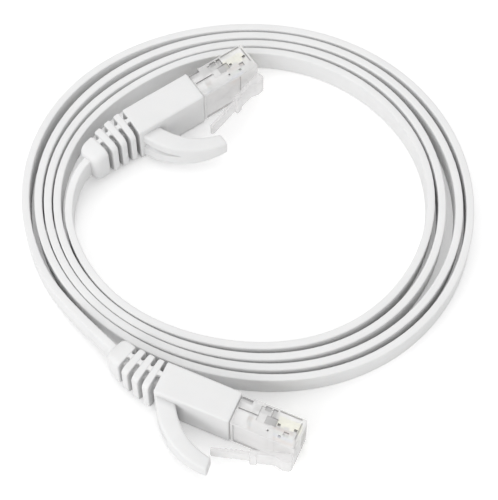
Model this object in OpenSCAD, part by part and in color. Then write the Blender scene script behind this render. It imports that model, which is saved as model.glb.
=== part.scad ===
// Flat ethernet patch cable, coiled and standing on its edge, with a booted
// modular plug on each end.
//
// World frame: the coil stands on z = 0, the origin is the middle of the whole
// cable's footprint, and the outer plug points along +X. Every plug piece is
// drawn in the plug's own frame: x runs along the insertion direction from the
// boot's rear face, +y is the contact side, -y is the latch side, and z = 0 is
// the edge that rests on the ground.

/* [Cable] */
// Width of the flat jacket
cable_w = 7; // [6.6:0.1:7.4]
// Thickness of the flat jacket
cable_t = 1.9; // [1.8:0.05:2.05]
// Wall of the jacket
jacket_wall = 0.35; // [0.3:0.05:0.4]
// Side of one insulated conductor
wire_size = 0.72; // [0.6:0.02:0.74]

/* [Coil] */
// Mean radius of the outermost lap at its start
coil_r = 52.9; // [50:0.1:60]
// How far each lap lies inside the one before it
lap_pitch = 2.76; // [2.7:0.02:3.2]
// How far the loop is stretched along its long axis
oval = 2.8; // [0:0.1:4]
// How much of that stretch each lap loses
oval_fade = 0.21; // [0:0.01:0.3]
// Direction of the long axis
oval_dir = 15; // [0:1:45]
// Slight three-cornered swell of the loop
swell = 0.55; // [0:0.05:0.8]
// Direction of that swell
swell_dir = -32; // [-60:1:60]
// How far each lap shifts toward -X
lap_drift = 0.5; // [0:0.05:0.6]

/* [Plug] */
// Width of the clear housing
plug_w = 11.7; // [11.5:0.1:11.8]
// Thickness of the clear housing
plug_t = 7.7; // [7.5:0.1:7.8]
// Housing length in front of the boot
plug_front = 16.3; // [16:0.1:17]
// Distance between neighbouring contacts
contact_pitch = 1.02; // [1:0.01:1.04]
// Angle of the latch from the housing at rest
latch_angle = 17; // [15:0.5:18]

/* [Boot] */
// Width of the boot
boot_w = 12.6; // [12.4:0.1:13]
// Thickness of the boot
boot_t = 8.2; // [8:0.1:8.6]
// Length of the boot's main body
boot_len = 19; // [18.5:0.1:20]
// Length of the ribbed strain relief
relief_len = 13; // [12.5:0.1:14]
// How far the outer plug's strain relief is bent at rest
outer_bend = 17; // [12:1:20]
// How far the outer plug's strain relief is turned at its first slot
outer_kink = 5; // [0:1:6]
// How far the inner plug's strain relief is bent at rest
inner_bend = 14; // [10:1:18]
// Height of the latch guard arm where it springs from the boot
guard_root_h = 10; // [8:0.1:10.4]
// Height of the latch guard arm at its tip
guard_tip_h = 4.6; // [4:0.1:6]
// How far the outer plug's guard arm is pressed in at rest
outer_guard_turn = 5; // [0:1:8]

/* [Hidden] */

gap = 0.15;
mid_z = boot_w / 2;
nose_x = boot_len + plug_front;
wire_pitch = (cable_w - 2 * jacket_wall - wire_size - 2 * 0.05) / 7;

// The coil's centre, placed so that the whole cable's footprint is centred on the origin
coil_at = [0.14, 10.03];

// Where each plug sits: the middle of its boot's rear face, and its heading
outer_at = coil_at + [1.1, -54.3];
outer_yaw = 0;
inner_at = coil_at + [-34.2, 4.2];
inner_yaw = 57.8;

// The plug turns on the cable about this line, in the first slot behind the boot
flex_x = -0.7;

// ---- cable path ----

// Angle around the coil where lap 0 starts, and the laps that follow the spiral
start_angle = 258.8;
lap_first = 0.09;
lap_last = 4.12;
steps_per_lap = 60;

// Where a lap leans out of the even spiral (+) or tucks in (-): lap, distance, reach in laps
leans = [
  [0.25, 1.4, 0.09], [1.05, -0.5, 0.1], [1.67, 0.75, 0.08], [2.29, -1, 0.07],
  [3.03, 0.5, 0.13], [3.28, -1.25, 0.07], [3.63, 0.85, 0.075], [4.03, 0.85, 0.09]
];
lean_sizes = [for (l = leans) l[1]];

function lean(lap) = lean_sizes * [for (l = leans) exp(-pow((lap - l[0]) / l[2], 2))];

function spiral_angle(lap) = start_angle - 360 * lap;

function spiral_r(lap, a) =
  coil_r - lap_pitch * lap
  + (oval - oval_fade * lap) * cos(2 * (a - oval_dir))
  + swell * cos(3 * (a - swell_dir))
  + lean(lap);

function spiral(lap) =
  let (a = spiral_angle(lap), r = spiral_r(lap, a))
  coil_at + [r * cos(a) - lap_drift * (lap - 2), r * sin(a)];

function unit(v) = v / norm(v);

function spiral_heading(lap) = unit(spiral(lap + 0.001) - spiral(lap - 0.001));

function bezier(p0, p1, p2, p3, t) =
  pow(1 - t, 3) * p0 + 3 * pow(1 - t, 2) * t * p1 + 3 * (1 - t) * t * t * p2 + t * t * t * p3;

// A point in a plug's frame, in the world
function from_plug(at, yaw, p) =
  [at[0] + p[0] * cos(yaw) - p[1] * sin(yaw), at[1] + p[0] * sin(yaw) + p[1] * cos(yaw)];

// The strain relief follows an arc behind the flex line, bent toward +y or -y.
// bend is its whole angle, with its sign, and s is the length along it. kink is
// how far the whole arc is turned toward +y about the flex line.
function relief_r(bend) = relief_len / abs(bend) * 180 / PI;

function relief_point(bend, kink, s) =
  let (r = relief_r(bend), a = s / r * 180 / PI, x = -r * sin(a), y = sign(bend) * r * (1 - cos(a)))
  [flex_x + x * cos(kink) + y * sin(kink), y * cos(kink) - x * sin(kink)];

// A tail runs from the flex line of a plug, through its strain relief, to the
// end of the spiral. reach sets how far each end keeps its own direction.
relief_steps = 6;
tail_steps = 14;

function tail_xy(at, yaw, bend, kink, lap, reach, sense) =
  let (
    p0 = from_plug(at, yaw, relief_point(bend, kink, relief_len)),
    back = yaw + 180 - bend - kink,
    p1 = p0 + reach * [cos(back), sin(back)],
    p3 = spiral(lap),
    p2 = p3 - sense * reach * spiral_heading(lap)
  )
  [
    for (i = [0:relief_steps - 1]) from_plug(at, yaw, relief_point(bend, kink, relief_len * i / relief_steps)),
    for (i = [0:tail_steps]) bezier(p0, p1, p2, p3, i / tail_steps)
  ];

// Past the strain relief, the tail sinks from the plug's middle height to the coil's
sink = mid_z - cable_w / 2;
function tail_z(points) =
  let (n = len(points) - 1)
  [for (i = [0:n]) cable_w / 2 + sink * (1 + cos(180 * max(0, i - relief_steps) / (n - relief_steps))) / 2];

outer_tail = tail_xy(outer_at, outer_yaw, outer_bend, outer_kink, lap_first, 7.5, 1);
inner_tail = tail_xy(inner_at, inner_yaw, -inner_bend, 0, lap_last, 6, -1);

lap_steps = ceil((lap_last - lap_first) * steps_per_lap);
coil_path = [for (i = [0:lap_steps]) spiral(lap_first + (lap_last - lap_first) * i / lap_steps)];
coil_heading = [for (i = [0:lap_steps]) spiral_heading(lap_first + (lap_last - lap_first) * i / lap_steps)];

function left_of(d) = [-d[1], d[0]];

function headings(p) =
  let (n = len(p) - 1)
  [for (i = [0:n]) i == 0 ? unit(p[1] - p[0]) : i == n ? unit(p[n] - p[n - 1]) : unit(unit(p[i + 1] - p[i]) + unit(p[i] - p[i - 1]))];

// A flat band of thickness t and height h that follows the coil, from height z
module coil_band(t, z, h) {
  n = len(coil_path) - 1;
  outline = [
    for (i = [0:n]) coil_path[i] + left_of(coil_heading[i]) * t / 2,
    for (i = [n:-1:0]) coil_path[i] - left_of(coil_heading[i]) * t / 2
  ];
  translate([0, 0, z]) linear_extrude(height = h) polygon(outline);
}

// Four corners of a band's cross-section, t thick, from low to high about the cable's middle
function band_section(p, d, z, t, low, high) =
  let (s = left_of(d) * t / 2)
  [
    [p[0] + s[0], p[1] + s[1], z + low],
    [p[0] - s[0], p[1] - s[1], z + low],
    [p[0] - s[0], p[1] - s[1], z + high],
    [p[0] + s[0], p[1] + s[1], z + high]
  ];

// A solid swept through sections of four points each
module swept(sections) {
  n = len(sections) - 1;
  points = [for (s = sections) each s];
  sides = [for (i = [0:n - 1]) for (k = [0:3]) [4 * i + k, 4 * i + (k + 1) % 4, 4 * i + 4 + (k + 1) % 4, 4 * i + 4 + k]];
  polyhedron(points = points, faces = concat([[3, 2, 1, 0]], sides, [[4 * n, 4 * n + 1, 4 * n + 2, 4 * n + 3]]), convexity = 6);
}

// The headings of a tail, with its last one matched to the spiral it joins
function tail_headings(tail, lap, sense) =
  let (d = headings(tail), n = len(tail) - 1)
  [for (i = [0:n]) i == n ? sense * spiral_heading(lap) : d[i]];

module tail_band(tail, lap, sense, t, low, high) {
  d = tail_headings(tail, lap, sense);
  z = tail_z(tail);
  swept([for (i = [0:len(tail) - 1]) band_section(tail[i], d[i], z[i], t, low, high)]);
}

// One band over the whole cable, from one flex line to the other
module cable_band(t, low, high) {
  coil_band(t, cable_w / 2 + low, high - low);
  tail_band(outer_tail, lap_first, 1, t, low, high);
  tail_band(inner_tail, lap_last, -1, t, low, high);
}

// ---- cable ----

// The jacket ends in a half round at each flex line, so that it can turn there.
// It is a little thinner than the jacket, so that its sides stay inside.
module jacket_tip(at, yaw) {
  translate([at[0], at[1], 0]) rotate([0, 0, yaw]) translate([flex_x, 0, mid_z - cable_w / 2])
    cylinder(h = cable_w, d = cable_t - 0.04, $fn = 48);
}

module cable_jacket() {
  color("whitesmoke") difference() {
    union() {
      cable_band(cable_t, -cable_w / 2, cable_w / 2);
      jacket_tip(outer_at, outer_yaw);
      jacket_tip(inner_at, inner_yaw);
    }
    cable_band(cable_t - 2 * jacket_wall, jacket_wall - cable_w / 2, cable_w / 2 - jacket_wall);
  }
}

// Conductors lie side by side across the width, in the order of the contacts
function wire_z(k) = (k - 3.5) * wire_pitch;

module cable_wire(k) {
  cable_band(wire_size, wire_z(k) - wire_size / 2, wire_z(k) + wire_size / 2);
}

module pair_orange() {
  color("orange") { cable_wire(0); cable_wire(1); }
}

module pair_green() {
  color("green") { cable_wire(2); cable_wire(5); }
}

module pair_blue() {
  color("royalblue") { cable_wire(3); cable_wire(4); }
}

module pair_brown() {
  color("saddlebrown") { cable_wire(6); cable_wire(7); }
}

// ---- plug pieces, in the plug's own frame ----

module at_outer() {
  translate([outer_at[0], outer_at[1], 0]) rotate([0, 0, outer_yaw]) children();
}

module at_inner() {
  translate([inner_at[0], inner_at[1], 0]) rotate([0, 0, inner_yaw]) children();
}

// A box from x0 to x1, centred on the plug's middle plane and height
module slab(x0, x1, t, w) {
  translate([x0, -t / 2, mid_z - w / 2]) cube([x1 - x0, t, w]);
}

// The same box with its long edges rounded to radius r
module rounded_slab(x0, x1, t, w, r) {
  translate([x0, 0, mid_z]) rotate([90, 0, 90]) linear_extrude(height = x1 - x0) union() {
    square([t - 2 * r, w], center = true);
    square([t, w - 2 * r], center = true);
    for (a = [-1, 1], b = [-1, 1]) translate([a * (t / 2 - r), b * (w / 2 - r)]) circle(r = r, $fn = 32);
  }
}

// Inside the housing: a neck in the boot, a cable hole, then a wire chamber
neck_x = boot_len - 6.3;
neck_t = boot_t - 2.4;
neck_w = boot_w - 3;
hole_t = cable_t + 0.5;
hole_w = cable_w + 0.5;
clamp_x = boot_len + 0.5;
clamp_len = 3;
chamber_x = clamp_x + clamp_len + 0.6;
bar_x = chamber_x + 0.4;
bar_len = 5;
contact_x = nose_x - 6.5;
contact_len = 6;
blade_low = 0.55;
blade_top = 3.1;
wire_end_x = nose_x - 2;
cable_end_x = clamp_x + clamp_len - 0.4;

module housing() {
  difference() {
    union() {
      slab(neck_x, boot_len + 1, neck_t, neck_w);
      slab(boot_len + gap, nose_x, plug_t, plug_w);
    }
    slab(neck_x - 1, chamber_x, hole_t, hole_w);
    slab(chamber_x - 1, nose_x - 1.5, wire_size + 0.3, 8 * contact_pitch);
    // Seat of the load bar
    translate([chamber_x, -1.1, mid_z - 4.4]) cube([bar_len + 0.8, 2.9, 8.8]);
    // Window over the clamp bar, and the notch beside the boot
    translate([clamp_x, 0, mid_z - 3.8]) cube([clamp_len, plug_t, 7.6]);
    // One slot for each contact, open to the front and the contact side
    for (k = [0:7])
      translate([contact_x - 0.15, 0, mid_z + (k - 3.5) * contact_pitch - 0.26]) cube([10, plug_t, 0.52]);
  }
}

// Blade with a rounded shoulder at the nose
module contact_blade() {
  linear_extrude(height = 0.32, center = true) difference() {
    union() {
      translate([0, blade_low]) square([contact_len, blade_top - blade_low - 1]);
      translate([0, blade_top - 1.01]) square([contact_len - 1, 1.01]);
      translate([contact_len - 1, blade_top - 1]) circle(r = 1, $fn = 32);
    }
    // Notch between the two piercing teeth
    translate([contact_len / 2 - 1, blade_low - 0.01]) square([1.2, 0.6]);
  }
}

module contacts() {
  for (k = [0:7]) translate([contact_x, 0, mid_z + (k - 3.5) * contact_pitch]) contact_blade();
}

// Comb that keeps the eight conductors at the contacts' spacing
module load_bar() {
  difference() {
    translate([bar_x, -0.95, mid_z - 4.25]) cube([bar_len, 2.6, 8.5]);
    for (k = [0:7])
      translate([bar_x - 1, -2, mid_z + (k - 3.5) * contact_pitch - 0.42]) cube([bar_len + 2, 2.4, 0.84]);
  }
}

// Bar that is pressed onto the jacket through the housing's window
module clamp_bar() {
  translate([clamp_x + 0.2, cable_t / 2 + 0.1, mid_z - 3.6]) cube([clamp_len - 0.6, 1.1, 7.2]);
}

// The last of the jacket, from the flex line to the clamp bar
module jacket_end() {
  difference() {
    slab(flex_x + cable_t / 2 + gap, cable_end_x, cable_t, cable_w);
    slab(flex_x, cable_end_x + 1, cable_t - 2 * jacket_wall, cable_w - 2 * jacket_wall);
  }
}

// One conductor: level in the jacket, fanning out to the contacts' spacing in the chamber
module plug_wire(k) {
  z0 = mid_z + wire_z(k);
  z1 = mid_z + (k - 3.5) * contact_pitch;
  x0 = flex_x + cable_t / 2 + gap;
  x1 = cable_end_x + 0.1;
  h = wire_size / 2;
  rotate([90, 0, 0]) linear_extrude(height = wire_size, center = true)
    polygon([[x0, z0 - h], [x1, z0 - h], [bar_x, z1 - h], [wire_end_x, z1 - h],
             [wire_end_x, z1 + h], [bar_x, z1 + h], [x1, z0 + h], [x0, z0 + h]]);
}

module plug_wires(a, b) {
  plug_wire(a);
  plug_wire(b);
}

module boot() {
  difference() {
    rounded_slab(0, boot_len, boot_t, boot_w, 1.6);
    slab(-1, boot_len, cable_t + 0.3, cable_w + 0.3);
    slab(neck_x - 0.5, boot_len + 1, neck_t + 0.3, neck_w + 0.3);
  }
}

// Ribs and an end collar around a thin web, all along the bent cable
rib_count = 3;
rib_pitch = 2.9;
rib_len = 1.5;
rib_t = 7.8;
first_rib = 1.7;
web_t = cable_t + 1.1;
web_w = boot_w - 1.8;
collar_len = 3.6;
collar_t = 6.4;

// Puts a piece drawn at the flex line at length s along the bent strain relief
module along_relief(bend, s) {
  side = sign(bend) * relief_r(bend);
  translate([flex_x, side, 0]) rotate([0, 0, -s / side * 180 / PI]) translate([0, -side, 0]) children();
}

// A section of thickness t and height w, swept along the strain relief from s0 to s1
module relief_sweep(bend, s0, s1, t, w) {
  turn = abs(bend) * (s1 - s0) / relief_len;
  along_relief(bend, s1) translate([0, sign(bend) * relief_r(bend), mid_z])
    rotate([0, 0, bend > 0 ? -90 : 90 - turn])
    rotate_extrude(angle = turn, $fn = 360)
    translate([relief_r(bend), 0]) square([t, w], center = true);
}

module strain_relief(bend, kink) {
  translate([flex_x, 0, 0]) rotate([0, 0, -kink]) translate([-flex_x, 0, 0]) difference() {
    union() {
      relief_sweep(bend, 0.4, relief_len - 1, web_t, web_w);
      for (i = [0:rib_count - 1]) along_relief(bend, first_rib + i * rib_pitch)
        rounded_slab(-rib_len / 2, rib_len / 2, rib_t - 0.25 * i, boot_w - 0.8 - 0.3 * i, 1.5);
      along_relief(bend, relief_len - collar_len / 2)
        rounded_slab(-collar_len / 2, collar_len / 2, collar_t, boot_w - 2, 1.5);
    }
    relief_sweep(bend, -1, relief_len + 1, cable_t + 0.3, cable_w + 0.3);
  }
}

// ---- latch and guard ----

latch_at = [nose_x - 0.3, -plug_t / 2 - 0.8];
latch_len = 18.8;
latch_t = 1.1;
knuckle_r = 0.65;

// Lever hinged at the nose, with catch shoulders, a narrow tongue and a raised end
module latch() {
  translate([latch_at[0], latch_at[1], mid_z]) rotate([0, 0, latch_angle]) {
    translate([0, 0, -3.1]) cylinder(h = 6.2, r = knuckle_r, $fn = 32);
    translate([-9.6, -latch_t / 2, -3.1]) cube([9.6, latch_t, 6.2]);
    translate([-latch_len, -latch_t / 2, -2]) cube([latch_len - 9, latch_t, 4]);
    translate([-9.6, -latch_t / 2 - 0.7, -3.1]) cube([1.6, 1, 6.2]);
  }
}

// The guard arm is a crescent between two round edges, with a round root and tip
guard_at = [4.5, -6.85];
guard_root_r = 2.6;
guard_in = [20, 2];
guard_in_r = 15.35;
guard_out = [18.5, 2];
guard_out_r = 18.6;
guard_end_x = 16.4;
guard_tip_r = 1.6;
// How far the middle of the root lies below the middle of the boot
guard_drop = 0.7;

module guard_plan() {
  tip_y = -(sqrt(guard_in_r * guard_in_r - pow(guard_end_x - guard_in[0], 2))
    + sqrt(guard_out_r * guard_out_r - pow(guard_end_x - guard_out[0], 2))) / 2 + guard_in[1];
  difference() {
    translate(guard_out) circle(r = guard_out_r, $fn = 96);
    translate(guard_in) circle(r = guard_in_r, $fn = 96);
    translate([guard_end_x, -30]) square([40, 60]);
    translate([-5, guard_at[1]]) square([60, 40]);
  }
  translate(guard_at) circle(r = guard_root_r, $fn = 48);
  translate([guard_end_x, tip_y]) circle(r = guard_tip_r, $fn = 48);
}

// The arm's side view: it tapers in height from its root to its tip
module guard_side() {
  root_x = guard_at[0] - guard_root_r - 1;
  tip_x = guard_end_x + guard_tip_r + 1;
  polygon([
    [root_x, mid_z - guard_drop - guard_root_h / 2], [tip_x, mid_z - guard_tip_h / 2],
    [tip_x, mid_z + guard_tip_h / 2], [root_x, mid_z - guard_drop + guard_root_h / 2]
  ]);
}

// turn presses the arm in about its root
module guard(turn) {
  root = [guard_at[0], guard_at[1], 0];
  translate(root) rotate([0, 0, turn]) translate(-root) intersection() {
    linear_extrude(height = boot_w) guard_plan();
    rotate([90, 0, 0]) linear_extrude(height = 30) guard_side();
  }
}

// ---- the two ends ----

module outer_jacket_end() { color("whitesmoke") at_outer() jacket_end(); }
module outer_wires_orange() { color("orange") at_outer() plug_wires(0, 1); }
module outer_wires_green() { color("green") at_outer() plug_wires(2, 5); }
module outer_wires_blue() { color("royalblue") at_outer() plug_wires(3, 4); }
module outer_wires_brown() { color("saddlebrown") at_outer() plug_wires(6, 7); }
module outer_housing() { color("aliceblue", 0.5) at_outer() housing(); }
module outer_contacts() { color("gold") at_outer() contacts(); }
module outer_load_bar() { color("lightcyan") at_outer() load_bar(); }
module outer_clamp_bar() { color("lightblue") at_outer() clamp_bar(); }
module outer_boot() { color("white") at_outer() boot(); }
module outer_strain_relief() { color("white") at_outer() strain_relief(outer_bend, outer_kink); }
module outer_latch() { color("aliceblue", 0.5) at_outer() latch(); }
module outer_guard() { color("white") at_outer() guard(outer_guard_turn); }

module inner_jacket_end() { color("whitesmoke") at_inner() jacket_end(); }
module inner_wires_orange() { color("orange") at_inner() plug_wires(0, 1); }
module inner_wires_green() { color("green") at_inner() plug_wires(2, 5); }
module inner_wires_blue() { color("royalblue") at_inner() plug_wires(3, 4); }
module inner_wires_brown() { color("saddlebrown") at_inner() plug_wires(6, 7); }
module inner_housing() { color("aliceblue", 0.5) at_inner() housing(); }
module inner_contacts() { color("gold") at_inner() contacts(); }
module inner_load_bar() { color("lightcyan") at_inner() load_bar(); }
module inner_clamp_bar() { color("lightblue") at_inner() clamp_bar(); }
module inner_boot() { color("white") at_inner() boot(); }
module inner_strain_relief() { color("white") at_inner() strain_relief(-inner_bend, 0); }
module inner_latch() { color("aliceblue", 0.5) at_inner() latch(); }
module inner_guard() { color("white") at_inner() guard(0); }

cable_jacket();
pair_orange();
pair_green();
pair_blue();
pair_brown();
outer_jacket_end();
outer_wires_orange();
outer_wires_green();
outer_wires_blue();
outer_wires_brown();
outer_housing();
outer_contacts();
outer_load_bar();
outer_clamp_bar();
outer_boot();
outer_strain_relief();
outer_latch();
outer_guard();
inner_jacket_end();
inner_wires_orange();
inner_wires_green();
inner_wires_blue();
inner_wires_brown();
inner_housing();
inner_contacts();
inner_load_bar();
inner_clamp_bar();
inner_boot();
inner_strain_relief();
inner_latch();
inner_guard();
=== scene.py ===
"""Looks for the coiled flat ethernet cable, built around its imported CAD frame.

All lengths in the shape functions are in millimetres. Plug pieces are drawn in
the plug's own frame: x along the insertion direction from the boot's rear face,
+y the contact side, -y the latch side, z = 0 the edge that rests on the floor.
"""

from math import acos, ceil, cos, exp, pi, radians, sin

import bmesh
import bpy
from mathutils import Matrix, Vector


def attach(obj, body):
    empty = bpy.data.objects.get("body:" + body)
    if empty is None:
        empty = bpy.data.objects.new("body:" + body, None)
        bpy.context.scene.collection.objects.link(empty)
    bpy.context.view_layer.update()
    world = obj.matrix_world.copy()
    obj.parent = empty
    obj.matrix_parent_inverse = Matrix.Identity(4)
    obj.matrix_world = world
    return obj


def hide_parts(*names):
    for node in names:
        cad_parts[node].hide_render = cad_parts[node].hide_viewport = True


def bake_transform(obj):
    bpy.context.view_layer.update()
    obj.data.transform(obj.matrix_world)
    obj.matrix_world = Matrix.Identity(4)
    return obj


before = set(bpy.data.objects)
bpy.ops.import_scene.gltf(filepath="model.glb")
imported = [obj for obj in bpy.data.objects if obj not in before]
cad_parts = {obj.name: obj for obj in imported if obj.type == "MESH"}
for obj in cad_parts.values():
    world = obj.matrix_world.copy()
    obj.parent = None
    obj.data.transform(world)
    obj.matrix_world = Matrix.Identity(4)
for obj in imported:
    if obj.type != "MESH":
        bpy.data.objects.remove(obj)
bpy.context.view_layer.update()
MM = 0.001

# ---- sizes, the same as in the CAD source ----

CABLE_W, CABLE_T = 7.0, 1.9
BOOT_W, BOOT_T, BOOT_LEN = 12.6, 8.2, 19.0
PLUG_W, PLUG_T, NOSE_X = 11.7, 7.7, 35.3
MID_Z = BOOT_W / 2
CONTACT_COUNT, CONTACT_PITCH = 8, 1.02
WIRE_PITCH = 0.7829
FLEX_X = -0.7
RELIEF_LEN = 13.0

COIL_AT = Vector((0.14, 10.03))
COIL_R, LAP_PITCH, LAP_DRIFT = 52.9, 2.76, 0.5
OVAL, OVAL_FADE, OVAL_DIR = 2.8, 0.21, 15
SWELL, SWELL_DIR = 0.55, -32
START_ANGLE = 258.8
LAP_FIRST, LAP_LAST = 0.09, 4.12
# Where a lap leans out of the even spiral (+) or tucks in (-): lap, distance, reach in laps
LEANS = (
    (0.25, 1.4, 0.09), (1.05, -0.5, 0.1), (1.67, 0.75, 0.08), (2.29, -1.0, 0.07),
    (3.03, 0.5, 0.13), (3.28, -1.25, 0.07), (3.63, 0.85, 0.075), (4.03, 0.85, 0.09),
)


class End:
    """One end of the cable: where its plug sits and how its strain relief and guard arm are bent.

    yaw turns the plug about the vertical, bend and kink curve and turn its strain relief, and turn
    presses its guard arm in. The cable joins the coil at lap, and reach is how softly it curves on
    its way there. sense is 1 where the laps lead away from the plug and -1 where they lead to it.
    """

    def __init__(self, name, offset, yaw, bend, kink, lap, reach, sense, turn):
        self.name = name
        self.at = COIL_AT + Vector(offset)
        self.yaw = radians(yaw)
        self.bend = radians(bend)
        self.kink = radians(kink)
        self.lap, self.reach, self.sense = lap, reach, sense
        self.turn = radians(turn)

    def xy(self, x, y):
        """A point of the plug's frame, in the world."""
        c, s = cos(self.yaw), sin(self.yaw)
        return Vector((self.at.x + x * c - y * s, self.at.y + x * s + y * c))

    def world(self, p):
        """A point of the plug's frame with its height, in the world."""
        q = self.xy(p[0], p[1])
        return Vector((q.x, q.y, p[2]))

    def relief(self, s, n=0.0):
        """The point at length s along the strain relief and n to its +y side."""
        r = RELIEF_LEN / self.bend
        a = s / r
        x = -(r - n) * sin(a)
        y = r - (r - n) * cos(a)
        c, k = cos(self.kink), sin(self.kink)
        return FLEX_X + x * c + y * k, y * c - x * k

    def matrix(self):
        """From the plug's frame to the world, in metres."""
        place = Matrix.Translation((self.at.x * MM, self.at.y * MM, 0))
        return place @ Matrix.Rotation(self.yaw, 4, "Z")


OUTER = End(
    "outer", offset=(1.1, -54.3), yaw=0, bend=17, kink=5,
    lap=LAP_FIRST, reach=7.5, sense=1, turn=5,
)
INNER = End(
    "inner", offset=(-34.2, 4.2), yaw=57.8, bend=-14, kink=0,
    lap=LAP_LAST, reach=6, sense=-1, turn=0,
)
ENDS = (OUTER, INNER)

# ---- mesh helpers ----


def new_object(name, verts, faces, mats, sharp=35):
    """A smooth-shaded mesh object from points in millimetres."""
    mesh = bpy.data.meshes.new(name)
    mesh.from_pydata([Vector(v) * MM for v in verts], [], faces)
    bm = bmesh.new()
    bm.from_mesh(mesh)
    bmesh.ops.recalc_face_normals(bm, faces=bm.faces)
    bm.to_mesh(mesh)
    bm.free()
    return link(name, mesh, mats, sharp)


def link(name, mesh, mats, sharp=35):
    """Puts a mesh in the scene, smooth except at edges sharper than the given angle."""
    for m in mats:
        mesh.materials.append(m)
    mesh.polygons.foreach_set("use_smooth", [True] * len(mesh.polygons))
    mesh.set_sharp_from_angle(angle=radians(sharp))
    obj = bpy.data.objects.new(name, mesh)
    bpy.context.scene.collection.objects.link(obj)
    return obj


def loft(rings):
    """Verts and faces of a closed solid through rings of equal length."""
    n = len(rings[0])
    verts = [p for ring in rings for p in ring]
    faces = [list(range(n))[::-1], [(len(rings) - 1) * n + k for k in range(n)]]
    for i in range(len(rings) - 1):
        for k in range(n):
            j = (k + 1) % n
            faces.append([i * n + k, i * n + j, (i + 1) * n + j, (i + 1) * n + k])
    return verts, faces


def join(parts):
    """Several (verts, faces) as one."""
    verts, faces = [], []
    for v, f in parts:
        faces += [[i + len(verts) for i in face] for face in f]
        verts += v
    return verts, faces


def rounded(a0, a1, b0, b1, r, steps=5, r_low=None):
    """A rectangle in (a, b) with rounded corners, counter-clockwise.

    r is the corners' radius at a1 and, where r_low isn't given, at a0.
    """
    r_low = r if r_low is None else r_low
    out = []
    for ca, cb, start in ((a1, b1, 0), (a0, b1, 90), (a0, b0, 180), (a1, b0, 270)):
        sa, sb = (1 if ca == a1 else -1), (1 if cb == b1 else -1)
        q = r if ca == a1 else r_low
        for k in range(steps + 1):
            t = radians(start + 90 * k / steps)
            out.append((ca - sa * q + q * cos(t), cb - sb * q + q * sin(t)))
    return out


def smoothstep(t):
    """An eased step from 0 to 1."""
    t = min(1.0, max(0.0, t))
    return t * t * (3 - 2 * t)


# ---- the cable's path ----


def spiral(lap):
    """A point of the coil's middle line: an oval spiral with a three-sided swell and a few leans."""
    a = radians(START_ANGLE - 360 * lap)
    r = COIL_R - LAP_PITCH * lap + (OVAL - OVAL_FADE * lap) * cos(2 * (a - radians(OVAL_DIR)))
    r += SWELL * cos(3 * (a - radians(SWELL_DIR)))
    r += sum(size * exp(-((lap - at) / reach) ** 2) for at, size, reach in LEANS)
    return COIL_AT + Vector((r * cos(a) - LAP_DRIFT * (lap - 2), r * sin(a)))


def spiral_heading(lap):
    """The direction of growing laps."""
    return (spiral(lap + 0.001) - spiral(lap - 0.001)).normalized()


def tail(end, relief_steps=14, steps=44):
    """Stations (point, height) from the flex line, through the strain relief, to the spiral."""
    out = []
    for i in range(relief_steps):
        out.append((end.xy(*end.relief(RELIEF_LEN * i / relief_steps)), MID_Z))
    p0 = end.xy(*end.relief(RELIEF_LEN))
    back = end.yaw + pi - end.bend - end.kink
    p1 = p0 + end.reach * Vector((cos(back), sin(back)))
    p3 = spiral(end.lap)
    p2 = p3 - end.sense * end.reach * spiral_heading(end.lap)
    for i in range(steps):
        t = i / steps
        p = (1 - t) ** 3 * p0 + 3 * (1 - t) ** 2 * t * p1 + 3 * (1 - t) * t * t * p2 + t ** 3 * p3
        out.append((p, CABLE_W / 2 + (MID_Z - CABLE_W / 2) * (1 + cos(pi * t)) / 2))
    return out


def cable_stations(per_lap=110):
    """Stations of the whole cable, from the outer plug to the inner one."""
    n = ceil((LAP_LAST - LAP_FIRST) * per_lap)
    laps = [LAP_FIRST + (LAP_LAST - LAP_FIRST) * i / n for i in range(n + 1)]
    return tail(OUTER) + [(spiral(lap), CABLE_W / 2) for lap in laps] + tail(INNER)[::-1]


def sweep_jacket(stations, edge_r=0.34):
    """The flat jacket along its stations, standing on edge."""
    section = rounded(-CABLE_T / 2, CABLE_T / 2, -CABLE_W / 2, CABLE_W / 2, edge_r, 5)
    rings = []
    for i, (p, z) in enumerate(stations):
        a, b = stations[max(0, i - 1)][0], stations[min(len(stations) - 1, i + 1)][0]
        d = (b - a).normalized()
        rings.append([(p.x - d.y * u, p.y + d.x * u, z + v) for u, v in section])
    return loft(rings)


# ---- materials ----

# The colour sockets of a Mix node, which share their names with its other kinds
MIX_A, MIX_B, MIX_OUT = 6, 7, 2
# The part of a noise texture's range that is used
NOISE_LOW, NOISE_HIGH = 0.3, 0.7


def node(tree, kind, **values):
    """A new node, with values for its inputs or its settings."""
    n = tree.nodes.new(kind)
    for key, value in values.items():
        if key in n.inputs:
            n.inputs[key].default_value = value
        else:
            setattr(n, key, value)
    return n


def wire(tree, a, out, b, into):
    """Links an output of node a to an input of node b."""
    tree.links.new(a.outputs[out], b.inputs[into])


def material(name):
    """A new node material with its tree, its Principled node and its object coordinates."""
    m = bpy.data.materials.new(name)
    m.use_nodes = True
    tree = m.node_tree
    return m, tree, tree.nodes["Principled BSDF"], node(tree, "ShaderNodeTexCoord")


def noise(tree, coords, scale, detail=3.0, stretch=(1, 1, 1)):
    """A noise texture in object space, finer along an axis with more stretch."""
    mapping = node(tree, "ShaderNodeMapping")
    mapping.inputs["Scale"].default_value = stretch
    wire(tree, coords, "Object", mapping, "Vector")
    n = node(tree, "ShaderNodeTexNoise", Scale=scale, Detail=detail)
    wire(tree, mapping, "Vector", n, "Vector")
    return n


def vary(tree, source, out, target, into, low, high):
    """Drives an input between low and high with a texture."""
    span = node(tree, "ShaderNodeMapRange")
    span.inputs["From Min"].default_value = NOISE_LOW
    span.inputs["From Max"].default_value = NOISE_HIGH
    span.inputs["To Min"].default_value = low
    span.inputs["To Max"].default_value = high
    wire(tree, source, out, span, "Value")
    wire(tree, span, "Result", target, into)


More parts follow.
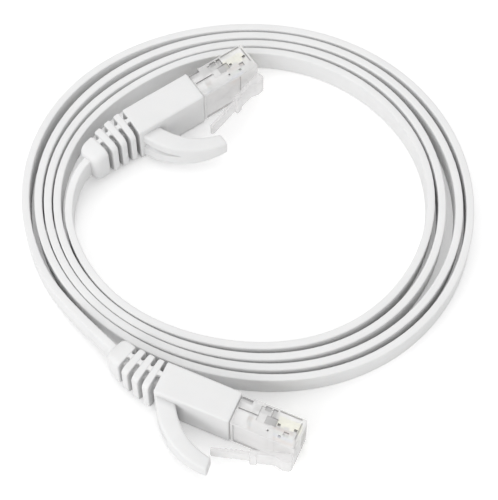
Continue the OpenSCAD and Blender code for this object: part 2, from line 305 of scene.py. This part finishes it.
def tint(tree, source, out, target, into, dark, light):
    """Drives a colour between two tones with a texture."""
    ramp = node(tree, "ShaderNodeValToRGB")
    ramp.color_ramp.elements[0].position = NOISE_LOW
    ramp.color_ramp.elements[1].position = NOISE_HIGH
    ramp.color_ramp.elements[0].color = (*dark, 1)
    ramp.color_ramp.elements[1].color = (*light, 1)
    wire(tree, source, out, ramp, "Fac")
    wire(tree, ramp, "Color", target, into)


def bump(tree, layers, bsdf):
    """Stacks bump layers of (texture, output, strength, distance in mm) onto a shader."""
    last = None
    for source, out, strength, depth in layers:
        b = node(tree, "ShaderNodeBump", Strength=strength, Distance=depth * MM)
        wire(tree, source, out, b, "Height")
        if last:
            wire(tree, last, "Normal", b, "Normal")
        last = b
    wire(tree, last, "Normal", bsdf, "Normal")


def moulded(name, dark, light, rough, grain=2600, depth=0.02, soft=0.06, stretch=(1, 1, 1), hollow_shade=0.0):
    """Moulded or extruded plastic: faint mottling, uneven sheen and a fine surface grain.

    The last argument is how strongly painted shade darkens the base colour in narrow hollows.
    """
    m, tree, bsdf, coords = material(name)
    mottle = noise(tree, coords, 140, 4)
    fine = noise(tree, coords, grain, 2, stretch)
    swell = noise(tree, coords, 320, 2)
    # Painted shade: an occlusion pass darkens the base colour in narrow hollows.
    if hollow_shade:
        shade = node(tree, "ShaderNodeMix", data_type="RGBA")
        shade.inputs["Factor"].default_value = hollow_shade
        hollows = node(tree, "ShaderNodeAmbientOcclusion", Distance=1.8 * MM)
        hollows.samples = 8
        tint(tree, mottle, "Fac", shade, MIX_A, dark, light)
        tint(tree, mottle, "Fac", hollows, "Color", dark, light)
        wire(tree, hollows, "Color", shade, MIX_B)
        wire(tree, shade, MIX_OUT, bsdf, "Base Color")
    else:
        tint(tree, mottle, "Fac", bsdf, "Base Color", dark, light)
    vary(tree, fine, "Fac", bsdf, "Roughness", rough - 0.06, rough + 0.08)
    bsdf.inputs["IOR"].default_value = 1.48
    bsdf.inputs["Subsurface Weight"].default_value = soft
    bsdf.inputs["Subsurface Radius"].default_value = (0.6 * MM, 0.55 * MM, 0.5 * MM)
    bsdf.inputs["Subsurface Scale"].default_value = 1.0
    bump(tree, [(swell, "Fac", 0.35, 0.03), (fine, "Fac", 0.5, depth)], bsdf)
    return m


# How much of its cover clear plastic keeps for the light that passes through it
COVER_INSIDE = 0.15


def clear_plastic(name, tone, rough, faced, edge_on):
    """Clear polycarbonate with flow lines and light scuffs.

    faced and edge_on are how much it covers what is behind it, seen face on and edge on. Light
    reaches what is inside with little loss.
    """
    m, tree, bsdf, coords = material(name)
    scuff = noise(tree, coords, 900, 4, (1, 1, 6))
    flow = noise(tree, coords, 260, 2)
    tint(tree, flow, "Fac", bsdf, "Base Color", tuple(0.94 * c for c in tone), tone)
    vary(tree, scuff, "Fac", bsdf, "Roughness", rough, rough + 0.1)
    bsdf.inputs["IOR"].default_value = 1.5
    bump(tree, [(flow, "Fac", 0.25, 0.05), (scuff, "Fac", 0.2, 0.01)], bsdf)
    through = node(tree, "ShaderNodeBsdfTransparent")
    through.inputs["Color"].default_value = (*[min(1, 1.04 * c) for c in tone], 1)
    facing = node(tree, "ShaderNodeLayerWeight", Blend=0.5)
    cover = node(tree, "ShaderNodeMapRange")
    cover.inputs["To Min"].default_value = faced
    cover.inputs["To Max"].default_value = edge_on
    path = node(tree, "ShaderNodeLightPath")
    inside = node(tree, "ShaderNodeMath", operation="MAXIMUM")
    wire(tree, path, "Is Shadow Ray", inside, 0)
    wire(tree, path, "Is Diffuse Ray", inside, 1)
    let_through = node(tree, "ShaderNodeMapRange")
    let_through.inputs["To Min"].default_value = 1.0
    let_through.inputs["To Max"].default_value = COVER_INSIDE
    share = node(tree, "ShaderNodeMath", operation="MULTIPLY")
    pick = node(tree, "ShaderNodeMixShader")
    wire(tree, facing, "Facing", cover, "Value")
    wire(tree, inside, "Value", let_through, "Value")
    wire(tree, cover, "Result", share, 0)
    wire(tree, let_through, "Result", share, 1)
    wire(tree, share, "Value", pick, "Fac")
    wire(tree, through, "BSDF", pick, 1)
    wire(tree, bsdf, "BSDF", pick, 2)
    wire(tree, pick, "Shader", tree.nodes["Material Output"], "Surface")
    return m


def gold_plate():
    """Pale gold plating on the contact blades."""
    m, tree, bsdf, coords = material("gold_plate")
    grain = noise(tree, coords, 3800, 3, (1, 1, 0.2))
    patch = noise(tree, coords, 700, 2)
    tint(tree, patch, "Fac", bsdf, "Base Color", (0.85, 0.83, 0.52), (0.95, 0.94, 0.70))
    vary(tree, grain, "Fac", bsdf, "Roughness", 0.22, 0.4)
    bsdf.inputs["Metallic"].default_value = 0.7
    bump(tree, [(grain, "Fac", 0.3, 0.008)], bsdf)
    return m


def floor_material():
    """A white sweep: bright to the camera, and a quieter grey in the light it throws back."""
    m, tree, bsdf, coords = material("studio_floor")
    speck = noise(tree, coords, 60, 3)
    tint(tree, speck, "Fac", bsdf, "Base Color", (0.965, 0.965, 0.965), (0.975, 0.975, 0.975))
    bsdf.inputs["Roughness"].default_value = 0.9
    bsdf.inputs["Specular IOR Level"].default_value = 0.1
    bsdf.inputs["Emission Color"].default_value = (1, 1, 1, 1)
    bsdf.inputs["Emission Strength"].default_value = 0.19
    quiet = node(tree, "ShaderNodeBsdfDiffuse")
    quiet.inputs["Color"].default_value = (0.9, 0.9, 0.9, 1)
    path = node(tree, "ShaderNodeLightPath")
    pick = node(tree, "ShaderNodeMixShader")
    wire(tree, path, "Is Camera Ray", pick, "Fac")
    wire(tree, quiet, "BSDF", pick, 1)
    wire(tree, bsdf, "BSDF", pick, 2)
    wire(tree, pick, "Shader", tree.nodes["Material Output"], "Surface")
    return m


WHITE = moulded(
    "white_jacket", (0.84, 0.84, 0.84), (0.87, 0.87, 0.87), 0.42,
    grain=2200, depth=0.012, soft=0.05, stretch=(1, 1, 0.15),
)
# The boot's base colour carries painted shade in its narrow hollows.
BOOT = moulded(
    "white_boot", (0.83, 0.83, 0.83), (0.86, 0.86, 0.86), 0.5,
    grain=3000, soft=0.08, hollow_shade=0.35,
)
CLEAR = clear_plastic("clear_housing", (0.99, 0.985, 0.985), 0.08, 0.4, 0.85)
# Clear plastic painted darker: painted shade for the refraction along edges and on the walls of small
# recesses.
EDGE_SHADE = clear_plastic("clear_edge_shade", (0.45, 0.445, 0.445), 0.12, 0.7, 0.95)
# Clear plastic painted grey: painted shade for the floors of small recesses and the sunken panel's
# walls.
SHADE = clear_plastic("clear_shaded", (0.66, 0.655, 0.655), 0.12, 0.55, 0.95)
LEVER = clear_plastic("clear_lever", (0.93, 0.925, 0.925), 0.08, 0.3, 0.85)
COMB = clear_plastic("clear_comb", (0.93, 0.925, 0.92), 0.16, 0.5, 0.85)
GOLD = gold_plate()
INK = {
    "orange": moulded("insulation_orange", (0.74, 0.33, 0.10), (0.82, 0.40, 0.14), 0.38),
    "green": moulded("insulation_green", (0.13, 0.40, 0.20), (0.18, 0.48, 0.25), 0.38),
    "blue": moulded("insulation_blue", (0.12, 0.25, 0.55), (0.17, 0.31, 0.64), 0.38),
    "brown": moulded("insulation_brown", (0.32, 0.19, 0.11), (0.40, 0.25, 0.15), 0.38),
}
PALE = moulded("insulation_white", (0.80, 0.79, 0.76), (0.86, 0.85, 0.82), 0.38)

# ---- cable ----


def build_cable():
    """The coiled jacket from one flex line to the other."""
    jacket = new_object("jacket", *sweep_jacket(cable_stations()), [WHITE])
    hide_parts("cable_jacket")
    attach(jacket, "coil")


def build_jacket_end(end):
    """The last of the jacket, from the boot's inside to the clamp bar."""
    stations = [(end.xy(x, 0), MID_Z) for x in (0.4, 6, 12, 18, 20, 22.1)]
    piece = new_object(end.name + "_jacket_stub", *sweep_jacket(stations), [WHITE])
    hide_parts(end.name + "_jacket_end")
    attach(piece, end.name + "_plug")


WIRE_R, WIRE_SIDES = 0.36, 12
WIRE_START, WIRE_END, WIRE_STEPS = 0.4, 33.3, 24
# Where the conductors start to fan out, and over what length
FAN_START, FAN_LEN = 22.0, 2.4
# The sides of a pale conductor that carry its coloured stripe
STRIPE_SIDES = (4, 5, 9)


def tube(points, r=WIRE_R, n=WIRE_SIDES):
    """A round tube through points that run mostly along x."""
    rings = []
    for i, p in enumerate(points):
        a, b = Vector(points[max(0, i - 1)]), Vector(points[min(len(points) - 1, i + 1)])
        d = (b - a).normalized()
        side = d.cross(Vector((0, 1, 0))).normalized()
        up = side.cross(d)
        turns = [2 * pi * k / n for k in range(n)]
        rings.append([Vector(p) + r * (cos(t) * side + sin(t) * up) for t in turns])
    return loft(rings)


def wire_points(k):
    """Conductor k: level in the jacket, then fanning out to the contacts."""
    place = k - (CONTACT_COUNT - 1) / 2
    z0, z1 = MID_Z + place * WIRE_PITCH, MID_Z + place * CONTACT_PITCH
    points = []
    for i in range(WIRE_STEPS + 1):
        x = WIRE_START + (WIRE_END - WIRE_START) * i / WIRE_STEPS
        points.append((x, 0, z0 + (z1 - z0) * smoothstep((x - FAN_START) / FAN_LEN)))
    return points


# The places of each pair's plain and pale conductor
PAIRS = {"orange": (1, 0), "green": (5, 2), "blue": (3, 4), "brown": (7, 6)}


def build_wires(end):
    """Each pair has one plain conductor and one pale conductor with a coloured stripe."""
    for colour, (plain, pale) in PAIRS.items():
        parts = [tube(wire_points(k)) for k in (plain, pale)]
        for k, (verts, faces) in enumerate(parts):
            parts[k] = ([end.world(v) for v in verts], faces)
        piece = new_object(f"{end.name}_{colour}_pair", *join(parts), [INK[colour], PALE])
        half = len(piece.data.polygons) // 2
        walls = half + 2
        for i, poly in enumerate(piece.data.polygons):
            stripe = i >= walls and (i - walls) % WIRE_SIDES in STRIPE_SIDES
            poly.material_index = 1 if i >= half and not stripe else 0
        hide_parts(f"{end.name}_wires_{colour}")
        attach(piece, end.name + "_plug")


# ---- boot ----


def boot_ring(x, cut, corner):
    """A rounded section of the boot at x, drawn in by cut on every side."""
    half_t, half_w = BOOT_T / 2 - cut, BOOT_W / 2 - cut
    return [(x, y, MID_Z + z) for y, z in rounded(-half_t, half_t, -half_w, half_w, corner, 6)]


def build_boot(end):
    """The boot's body, with soft edges at both ends."""
    soft, corner = 0.35, 0.6
    eased = [radians(90 * k / 4) for k in range(5)]
    rings = [boot_ring(soft * (1 - cos(t)), soft * (1 - sin(t)), corner) for t in eased]
    rings += [boot_ring(x, 0, corner) for x in (2, 6, 10, 14, 17)]
    rings += [boot_ring(BOOT_LEN - soft * (1 - sin(t)), soft * (1 - cos(t)), corner) for t in eased]
    verts, faces = loft(rings)
    piece = new_object(end.name + "_boot_shell", [end.world(v) for v in verts], faces, [BOOT], 60)
    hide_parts(end.name + "_boot")
    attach(piece, end.name + "_plug")


# ---- strain relief ----

# The slots' ends along the relief; between them stand the ribs, and after the last the collar
SLOTS = ((-0.7, 0.35), (2.0, 3.1), (4.85, 5.95), (7.7, 8.8))
# Half thickness of the ribs and its taper, and how far their half width is inside the boot's
RELIEF_HALF_T, TAPER_T = 4.05, 0.07
RELIEF_INSET, TAPER_W = 0.08, 0.075
# How far the spine reaches to the latch side and to the contact side, and half the web's thickness
SPINE = (0.2, 1.35)
WEB = 1.25
RIB_NEAR_R, RIB_FAR_R = 1.6, 0.5
RIB_SOFT, COLLAR_SOFT, COLLAR_CUT = 0.4, 0.5, 0.25
CORNER_STEPS = 6
EASE = [radians(degrees) for degrees in (0, 22, 45, 67, 90)]
# The collar's rounded end: length along the relief, then how far thickness and width draw in
COLLAR_END = (
    (10.6, 0.2, 0.02), (11.5, 0.22, 0.1), (12.2, 0.34, 0.3),
    (12.75, 0.6, 0.65), (13.1, 0.95, 1.1), (13.3, 1.4, 1.7),
)


def relief_size(s):
    """Half thickness and half width of the ribs' outline at length s."""
    return RELIEF_HALF_T - TAPER_T * s, BOOT_W / 2 - RELIEF_INSET - TAPER_W * max(0.0, s)


def rib_ring(s, cut_y, cut_z):
    """A rib or collar section: rounder on the latch side, drawn in by the cuts."""
    half_t, half_w = relief_size(s)
    y0, y1, z1 = cut_y - half_t - 0.15, half_t - cut_y, half_w - cut_z
    section = rounded(y0, y1, -z1, z1, RIB_FAR_R, CORNER_STEPS, RIB_NEAR_R)
    return [(s, y, z) for y, z in section]


def slot_ring(s, widen):
    """The section inside a slot: a web around the cable, and a narrower spine above and below it."""
    h = relief_size(s)[1] - 0.04
    out = []
    for side_y, side_z in ((1, 1), (-1, 1), (-1, -1), (1, -1)):
        spine = (SPINE[1] if side_y > 0 else -SPINE[0]) + widen
        web = WEB + widen
        corner = [(web, 3.7), (web, 4.0), (web - 0.12, 4.15), (spine, 4.3)]
        corner += [(spine, h - 0.15), (spine - 0.05, h - 0.04), (spine - 0.15, h)]
        corner = [(side_y * y, side_z * z) for y, z in corner]
        out += corner if side_y == side_z else corner[::-1]
    return [(s, y, z) for y, z in out]


def slot_rings(s0, s1, first_step, steps=8):
    """Sections through one slot, whose web and spine widen toward both ends."""
    half, middle = (s1 - s0) / 2, (s1 + s0) / 2
    out = []
    for k in range(first_step, steps + 1):
        t = radians(180 * k / steps)
        out.append(slot_ring(middle - (half - 0.02) * cos(t), half * (1 - sin(t))))
    return out


def edge_rings(s, side, soft, cut=0.0):
    """Sections of a rib's soft edge at s, with its body on the given side of s."""
    out = []
    for t in EASE:
        inward = 1 - sin(t)
        out.append(rib_ring(s + side * soft * (1 - cos(t)), cut + soft * inward, 0.1 * inward))
    return out


def relief_sections():
    """All sections of the strain relief, from inside the boot to the end of its collar.

    The first slot starts inside the boot, so only its far half is rounded.
    """
    out = [slot_ring(-2.2, 0)]
    for i, (s0, s1) in enumerate(SLOTS):
        out += slot_rings(s0, s1, 0 if i else 4)
        if i + 1 < len(SLOTS):
            out += edge_rings(s1, 1, RIB_SOFT)
            out += edge_rings(SLOTS[i + 1][0], -1, RIB_SOFT)[::-1]
    out += edge_rings(SLOTS[-1][1], 1, COLLAR_SOFT, COLLAR_CUT)
    return out + [rib_ring(*row) for row in COLLAR_END]


def build_relief(end):
    """Ribs on a thin spine, ending in a rounded collar, drawn bent between the coil and the plug."""
    rings = []
    for section in relief_sections():
        rings.append([end.world((*end.relief(s, y), MID_Z + z)) for s, y, z in section])
    piece = new_object(end.name + "_relief", *loft(rings), [BOOT], 40)
    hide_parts(end.name + "_strain_relief")
    tip = end.world((*end.relief(9.0), MID_Z)) * MM
    root = end.world((0.2, 0, MID_Z)) * MM
    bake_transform(piece)


# ---- guard arm ----

# Centres and radii of the crescent's inner and outer edge, and the angles where they start
GUARD_IN, GUARD_IN_R, GUARD_IN_START = Vector((20.0, 2.0)), 15.35, radians(199.5)
GUARD_OUT, GUARD_OUT_R, GUARD_OUT_START = Vector((18.5, 2.0)), 18.6, radians(195)
GUARD_END_X = 17.2
# Its low and high side about the plug's middle, at the root and at the tip
GUARD_ROOT_Z, GUARD_TIP_Z = (-5.7, 4.3), (-2.3, 2.3)
GUARD_TIP_SOFT = 0.45
GUARD_STEPS = 64
# The hollow in the outer face: its depth, and where along the arm it is full and has closed
SCOOP, SCOOP_FULL, SCOOP_CLOSED = 2.1, 0.06, 0.5
GUARD_AT = Vector((4.5, -6.85))


def guard_edges(u):
    """The inner and outer edge points of the crescent, u from 0 at the root to 1 at the tip."""
    a1 = pi + acos((GUARD_IN.x - GUARD_END_X) / GUARD_IN_R)
    b1 = pi + acos((GUARD_OUT.x - GUARD_END_X) / GUARD_OUT_R)
    a = GUARD_IN_START + (a1 - GUARD_IN_START) * u
    b = GUARD_OUT_START + (b1 - GUARD_OUT_START) * u
    inner = GUARD_IN + GUARD_IN_R * Vector((cos(a), sin(a)))
    outer = GUARD_OUT + GUARD_OUT_R * Vector((cos(b), sin(b)))
    return inner, outer


def guard_ring(inner, outer, low, high, cut, scoop=0.0, narrow=0.0):
    """One section of the arm in the plug's frame, from low to high, drawn in by cut.

    scoop is the depth of the hollow in its outer face, narrow how far that hollow has closed.
    """
    d = outer - inner
    t = d.length - 2 * cut
    d.normalize()
    base = inner + d * cut
    low, high = low + cut, high - cut
    h = high - low
    ring = rounded(0, t, low, high, min(0.7, 0.4 * t), 5)
    lip = low + h * (0.72 - 0.14 * narrow)
    w = 0.3 + 2.7 * (1 - narrow)
    hollow = [(t, lip - w), (t - 0.5 * scoop, lip - 0.8 * w), (t - scoop, lip - 0.5 * w)]
    hollow += [(t - scoop, lip - 0.05), (t - 0.1 * scoop, lip), (t, lip + 0.1)]
    return [(base.x + d.x * a, base.y + d.y * a, MID_Z + b) for a, b in ring + hollow]


def press(p, turn):
    """Turns a point of the arm about its root."""
    v = Matrix.Rotation(turn, 2) @ (Vector(p[:2]) - GUARD_AT) + GUARD_AT
    return v.x, v.y, p[2]


def build_guard(end):
    """A crescent from the boot's side that curves over the latch, with a hollow by its root."""
    rings = []
    for i in range(GUARD_STEPS + 1):
        u = i / GUARD_STEPS
        low, high = (root + (tip - root) * u for root, tip in zip(GUARD_ROOT_Z, GUARD_TIP_Z))
        closing = min(1.0, u / SCOOP_CLOSED)
        scoop = SCOOP * (1 - closing) ** 0.6 * smoothstep(u / SCOOP_FULL)
        rings.append(guard_ring(*guard_edges(u), low, high, 0, scoop, closing))
    inner, outer = guard_edges(1)
    along = (outer - guard_edges(0.98)[1]).normalized()
    for k in range(1, 5):
        t = radians(90 * k / 4)
        shift = along * GUARD_TIP_SOFT * sin(t)
        cut = GUARD_TIP_SOFT * (1 - cos(t))
        rings.append(guard_ring(inner + shift, outer + shift, *GUARD_TIP_Z, cut, 0, 1))
    verts, faces = loft(rings)
    verts = [end.world(press(v, end.turn)) for v in verts]
    piece = new_object(end.name + "_guard_arm", verts, faces, [BOOT], 40)
    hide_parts(end.name + "_guard")
    start = end.world((3, -4, MID_Z)) * MM
    stop = end.world((4.4, -9, MID_Z)) * MM
    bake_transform(piece)


# ---- clear housing ----


def block(lo, hi, bevel=0.0, slots=(0, 0, 0)):
    """A box object in the plug's frame, with its edges rounded by bevel.

    slots are the material slots (0 clear, 1 painted dark, 2 painted shade) of its x, y and z faces; the
    painted ones stand in for the shade that refraction gives.
    """
    bm = bmesh.new()
    bmesh.ops.create_cube(bm, size=1)
    size = Vector(hi) - Vector(lo)
    middle = (Vector(hi) + Vector(lo)) / 2
    for v in bm.verts:
        v.co = Vector((v.co.x * size.x, v.co.y * size.y, v.co.z * size.z)) + middle
    if bevel:
        bmesh.ops.bevel(bm, geom=bm.edges[:], offset=bevel, segments=3, profile=0.5, affect="EDGES")
    for v in bm.verts:
        v.co *= MM
    for f in bm.faces:
        f.material_index = slots[max(range(3), key=lambda axis: abs(f.normal[axis]))]
    mesh = bpy.data.meshes.new("block")
    bm.to_mesh(mesh)
    bm.free()
    for m in (CLEAR, EDGE_SHADE, SHADE):
        mesh.materials.append(m)
    obj = bpy.data.objects.new("block", mesh)
    bpy.context.scene.collection.objects.link(obj)
    return obj


def combine(body, tool, operation):
    """Applies one boolean step to body and removes the tool."""
    step = body.modifiers.new("step", "BOOLEAN")
    step.operation = operation
    step.object = tool
    step.solver = "EXACT"
    graph = bpy.context.evaluated_depsgraph_get()
    mesh = bpy.data.meshes.new_from_object(body.evaluated_get(graph))
    body.modifiers.clear()
    body.data = mesh
    bpy.data.objects.remove(tool)


# Details moulded into both narrow sides: x0, x1, y0, y1, depth, material slot of the floor. Their walls
# are painted dark and some floors painted shade, in place of the refraction's shade.
SIDE_DETAILS = (
    (19, 22.1, 2.7, 5, 1.6, 1),
    (19.6, 24.7, 0.15, 0.45, 0.5, 0),
    (24.4, 27.8, -0.9, 2.9, 0.3, 0),
    (26.4, 29.2, -0.6, 1.3, 0.4, 2),
    (25.3, 26.8, 2.3, 3.3, 0.5, 2),
    (27.2, 28.3, 1.4, 3.3, 0.9, 0),
    (27.7, 28.1, -2.3, -1.9, 0.6, 1),
    (29.4, 30.1, -0.1, 0.5, 0.8, 1),
    (33.4, 34.2, 0.1, 0.7, 0.8, 1),
    (31.5, 32.7, -1.8, -0.8, 0.6, 0),
    (30.6, 31.2, -2.6, -2.1, 0.5, 0),
    (28.8, 34.2, 3.2, 3.5, 0.25, 2),
    (34.35, 34.65, -1.6, 2.6, 0.25, 2),
)


# The neck inside the boot, the start of the wide body, and the width of its softened edges, which are
# painted darker
NECK = ((12.8, -2.9, -4.8), (20, 2.9, 4.8))
BODY_X, SOFT_EDGE = 19.15, 0.14
# Rooms inside the housing: for the jacket, the conductors, the comb and the clamp bar
ROOMS = (
    ((12, -1.2, -3.75), (22.9, 1.2, 3.75)),
    ((22.4, -0.51, -4.1), (33.8, 0.51, 4.1)),
    ((23.1, -1.1, -4.4), (28.9, 1.8, 4.4)),
    ((19.6, 0.9, -3.8), (22.5, 5, 3.8)),
)
# The sunken panel on the latch side; its ends and sides are painted shade, its floor is clear
PANEL = ((19.9, -5, -5.2), (30.2, -3.5, 5.2))
# Each contact's slot: where it starts along the plug and above its middle, and half its width
CONTACT_SLOT_X, CONTACT_SLOT_Y, CONTACT_SLOT_HALF = 28.65, 0.2, 0.26
# Outside the nose and the contact side, where the slots run out
OPEN_X, OPEN_Y = 40, 5


def housing_cuts():
    """Blocks cut out of the housing, in the plug's frame about z = 0 at its middle."""
    half_w = PLUG_W / 2
    blocks = [block(lo, hi) for lo, hi in ROOMS]
    for k in range(CONTACT_COUNT):
        z = (k - (CONTACT_COUNT - 1) / 2) * CONTACT_PITCH
        low = (CONTACT_SLOT_X, CONTACT_SLOT_Y, z - CONTACT_SLOT_HALF)
        blocks.append(block(low, (OPEN_X, OPEN_Y, z + CONTACT_SLOT_HALF)))
    blocks.append(block(*PANEL, 0, (2, 0, 2)))
    for side in (-1, 1):
        outside = side * (half_w + 1)
        for x0, x1, y0, y1, deep, floor in SIDE_DETAILS:
            z = side * (half_w - deep)
            blocks.append(block((x0, y0, min(z, outside)), (x1, y1, max(z, outside)), 0, (1, 1, floor)))
    return blocks


def housing_mesh():
    """The housing with its neck, rooms and details, and thin faces along its edges painted darker, as
    shade in place of refraction.
    """
    body = block((BODY_X, -PLUG_T / 2, -PLUG_W / 2), (NOSE_X, PLUG_T / 2, PLUG_W / 2), 0.3)
    combine(body, block(*NECK, 0.2), "UNION")
    for cut in housing_cuts():
        combine(body, cut, "DIFFERENCE")
    soft_painted_rim = body.modifiers.new("soft_painted_rim", "BEVEL")
    soft_painted_rim.width = SOFT_EDGE * MM
    soft_painted_rim.segments = 1
    # The bevel's faces take the darker clear plastic: painted shade along the edges.
    soft_painted_rim.material = 1
    soft_painted_rim.limit_method = "ANGLE"
    soft_painted_rim.angle_limit = radians(50)
    soft_painted_rim.use_clamp_overlap = True
    graph = bpy.context.evaluated_depsgraph_get()
    mesh = bpy.data.meshes.new_from_object(body.evaluated_get(graph))
    bpy.data.objects.remove(body)
    return mesh


def build_housing(end, mesh):
    """One end's copy of the housing."""
    mesh = mesh.copy()
    mesh.transform(end.matrix() @ Matrix.Translation((0, 0, MID_Z * MM)))
    piece = link(end.name + "_clear_body", mesh, [], 30)
    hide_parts(end.name + "_housing")
    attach(piece, end.name + "_plug")


# ---- latch ----

LATCH_AT = (35.0, -4.65)
LATCH_ANGLE = 17
LATCH_EDGE_R = 0.25
# Half widths of the lever and of its tongue
LEVER_HALF, TONGUE_HALF = 3.1, 2.0
# The tongue's low side, its high side and the top of its ridges, then where the ridges start
TONGUE_LOW, TONGUE_HIGH, RIDGE_HIGH = -0.45, 0.5, 0.65
RIDGES = (11.2, 12.4, 13.6, 14.8)


def latch_rings():
    """Sections along the lever: (distance from the nose, low and high side, half width)."""
    wide, narrow, bottom, top = LEVER_HALF, TONGUE_HALF, TONGUE_LOW, TONGUE_HIGH
    root = [(-0.4, -0.9, 0.35, wide - 0.3), (-0.1, -1.5, 0.6, wide - 0.1), (0.5, -1.7, 0.65, wide)]
    root += [(1.9, -1.55, 0.55, wide), (2.8, -1.1, 0.55, wide), (3.5, -0.65, 0.55, wide)]
    lever = [(4.5, -0.55, 0.55, wide), (7.9, -0.55, 0.55, wide)]
    catch = [(8.0, -1.0, 0.55, wide), (9.5, -1.0, 0.55, wide), (9.62, -0.6, 0.55, wide - 0.15)]
    tongue = [(9.7, -0.5, top, narrow + 0.1), (10.6, bottom, top, narrow)]
    for u in RIDGES:
        tongue += [(u, bottom, top, narrow), (u + 0.2, bottom, RIDGE_HIGH, narrow + 0.1)]
        tongue += [(u + 0.5, bottom, RIDGE_HIGH, narrow + 0.1), (u + 0.7, bottom, top, narrow)]
    tip = [(17.4, bottom, top, narrow), (18.5, -0.4, top, narrow), (18.8, -0.25, 0.35, narrow - 0.2)]
    return root + lever + catch + tongue + tip


def build_latch(end):
    """The lever on the plug's latch side, with catch shoulders and a narrow tongue."""
    a = radians(LATCH_ANGLE)
    rings = []
    for u, low, high, half_w in latch_rings():
        ring = []
        for v, z in rounded(low, high, -half_w, half_w, LATCH_EDGE_R, 3):
            x = LATCH_AT[0] - u * cos(a) - v * sin(a)
            y = LATCH_AT[1] - u * sin(a) + v * cos(a)
            ring.append(end.world((x, y, MID_Z + z)))
        rings.append(ring)
    piece = new_object(end.name + "_latch_lever", *loft(rings), [LEVER], 40)
    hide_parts(end.name + "_latch")
    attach(piece, end.name + "_lever")


# ---- CAD nodes that stay ----


def dress(name, mat):
    """Gives a CAD node its material."""
    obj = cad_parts[name]
    obj.data.materials.clear()
    obj.data.materials.append(mat)


def dress_nodes():
    """The pairs in the coil, the contacts and the bars keep their CAD shapes."""
    for colour, mat in INK.items():
        dress("pair_" + colour, mat)
    for end in ENDS:
        dress(end.name + "_contacts", GOLD)
        dress(end.name + "_load_bar", COMB)
        dress(end.name + "_clamp_bar", COMB)


# ---- stage ----


def studio_sky(zenith, horizon):
    """White light from all round, stronger from above."""
    world = bpy.data.worlds.new("studio")
    world.use_nodes = True
    tree = world.node_tree
    coords = node(tree, "ShaderNodeTexCoord")
    split = node(tree, "ShaderNodeSeparateXYZ")
    span = node(tree, "ShaderNodeMapRange")
    span.inputs["To Min"].default_value = horizon
    span.inputs["To Max"].default_value = zenith
    wire(tree, coords, "Generated", split, "Vector")
    wire(tree, split, "Z", span, "Value")
    tree.nodes["Background"].inputs["Color"].default_value = (1, 1, 1, 1)
    wire(tree, span, "Result", tree.nodes["Background"], "Strength")
    return world


SKY_ZENITH, SKY_HORIZON = 0.87, 0.62
FLOOR_HALF = 3


def build_stage():
    """A large floor under an even sky."""
    bm = bmesh.new()
    bmesh.ops.create_grid(bm, x_segments=8, y_segments=8, size=FLOOR_HALF)
    mesh = bpy.data.meshes.new("floor")
    bm.to_mesh(mesh)
    bm.free()
    floor = link("floor", mesh, [floor_material()])
    bpy.context.scene.world = studio_sky(SKY_ZENITH, SKY_HORIZON)
    bpy.context.scene.view_settings.view_transform = "Standard"


def lamp(name, at, size, power):
    """A round soft light at a point in metres, aimed at the origin."""
    light = bpy.data.lights.new(name, "AREA")
    light.shape = "DISK"
    light.size = size
    light.energy = power
    obj = bpy.data.objects.new(name, light)
    obj.location = at
    obj.rotation_mode = "QUATERNION"
    obj.rotation_quaternion = (-Vector(at)).to_track_quat("-Z", "Y")
    bpy.context.scene.collection.objects.link(obj)


# Where the camera stands and what it looks at, in millimetres
CAMERA_AT, CAMERA_AIM = Vector((87.81, -190.14, 418.33)), Vector((4.36, -0.615, 0))
LENS, SENSOR = 137.35, 36


def build_camera():
    """The camera above and in front of the coil."""
    data = bpy.data.cameras.new("camera")
    data.sensor_width = SENSOR
    data.sensor_fit = "HORIZONTAL"
    data.lens = LENS
    data.clip_start, data.clip_end = 0.01, 20
    cam = bpy.data.objects.new("camera", data)
    cam.location = CAMERA_AT * MM
    cam.rotation_mode = "QUATERNION"
    cam.rotation_quaternion = (CAMERA_AIM * MM - cam.location).to_track_quat("-Z", "Y")
    bpy.context.scene.collection.objects.link(cam)
    bpy.context.scene.camera = cam


# ---- build ----

build_cable()
plain_housing = housing_mesh()
for one_end in ENDS:
    build_jacket_end(one_end)
    build_wires(one_end)
    build_housing(one_end, plain_housing)
    build_latch(one_end)
    build_boot(one_end)
    build_relief(one_end)
    build_guard(one_end)
dress_nodes()
build_stage()
lamp("key", at=(-0.12, 0.16, 0.62), size=0.45, power=0.5)
lamp("fill", at=(-0.3, -0.75, 0.4), size=0.6, power=2.1)
build_camera()
